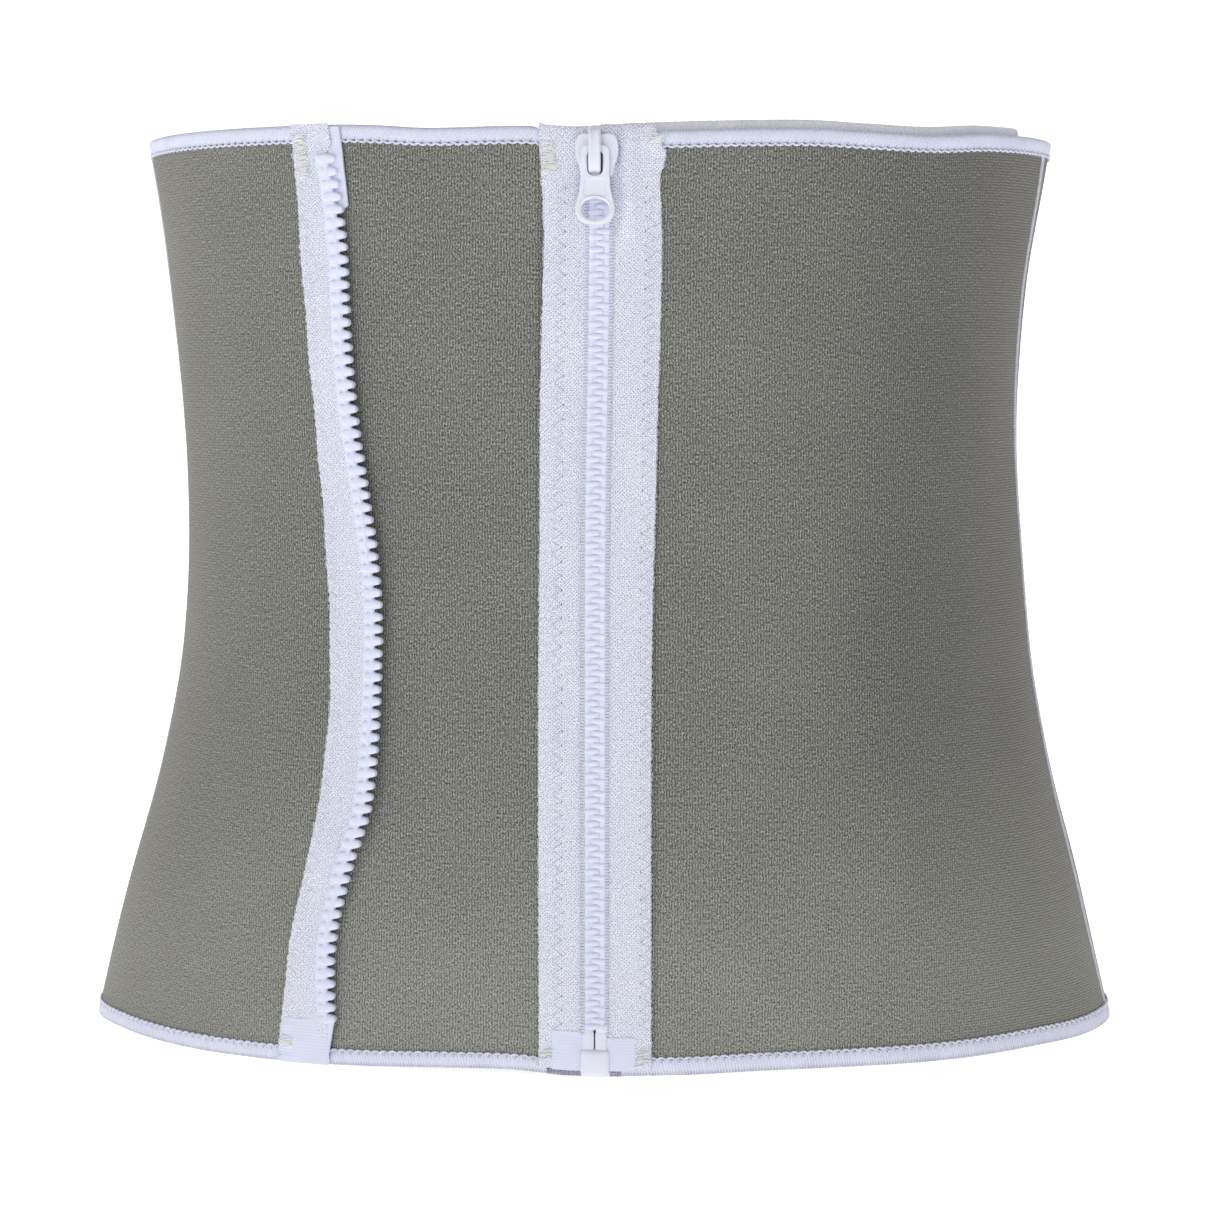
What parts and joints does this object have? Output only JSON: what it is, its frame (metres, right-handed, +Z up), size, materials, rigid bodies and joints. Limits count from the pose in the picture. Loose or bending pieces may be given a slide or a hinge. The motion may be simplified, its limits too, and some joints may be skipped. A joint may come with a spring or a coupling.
{
  "type": "lumbar support belt",
  "caption": "Waisted neoprene lumbar support belt that closes in front with an open-end zip over a guard, with a spare row of zip teeth for a tighter fit and stays in the back.",
  "frame": {"origin": "on the floor under the middle of the belt, which stands on its bottom edging", "axes": "+Z up along the wearer's trunk, the zip faces -Y and +X is on the right of somebody who looks at the zip, which is the wearer's left"},
  "size_m": [0.335, 0.1889, 0.2866],
  "materials": {
    "neoprene": "matte",
    "casing": "matte",
    "thread": "matte",
    "zip_tape": "matte",
    "teeth": "satin",
    "film": "gloss",
    "slider": "gloss",
    "stay": "satin"
  },
  "bodies": {
    "left_half": {"left_front_panel": "neoprene", "left_back_panel": "neoprene", "back_panel": "neoprene", "left_bottom_edging": "thread", "left_top_edging": "thread", "left_side_seam": "thread", "left_back_seam": "thread", "right_back_seam": "thread", "underlap": "neoprene", "underlap_top_edging": "thread", "underlap_end_edging": "thread", "left_tape": "zip_tape", "left_film": "film", "left_teeth": "teeth", "insertion_pin": "teeth", "spare_tape": "zip_tape", "spare_film": "film", "spare_teeth": "teeth", "spare_pin": "teeth", "stay_1": "stay", "stay_2": "stay", "stay_3": "stay", "stay_4": "stay", "stay_casing_1": "casing", "stay_casing_2": "casing", "stay_casing_3": "casing", "stay_casing_4": "casing"},
    "right_half": {"right_front_panel": "neoprene", "right_back_panel": "neoprene", "right_bottom_edging": "thread", "right_top_edging": "thread", "right_side_seam": "thread", "right_tape": "zip_tape", "right_film": "film", "right_teeth": "teeth", "retainer_box": "teeth", "retainer_pin": "teeth"},
    "slider": {"slider_body": "slider"},
    "pull": {"pull_tab": "slider"}
  },
  "joints": [
    {"name": "right_half_opening", "type": "hinge", "parent": "left_half", "child": "right_half", "pos_m": [0.04, 0.09275, 0], "axis": [0, 0, 1], "range_deg": [0, 100]},
    {"name": "slider_run", "type": "slide", "parent": "right_half", "child": "slider", "axis": [0, 0, -1], "range_m": [0, 0.2515]},
    {"name": "pull_tab_swing", "type": "hinge", "parent": "slider", "child": "pull", "pos_m": [0, -0.09211, 0.2747], "axis": [-1, 0, 0], "range_deg": [0, 170]}
  ]
}
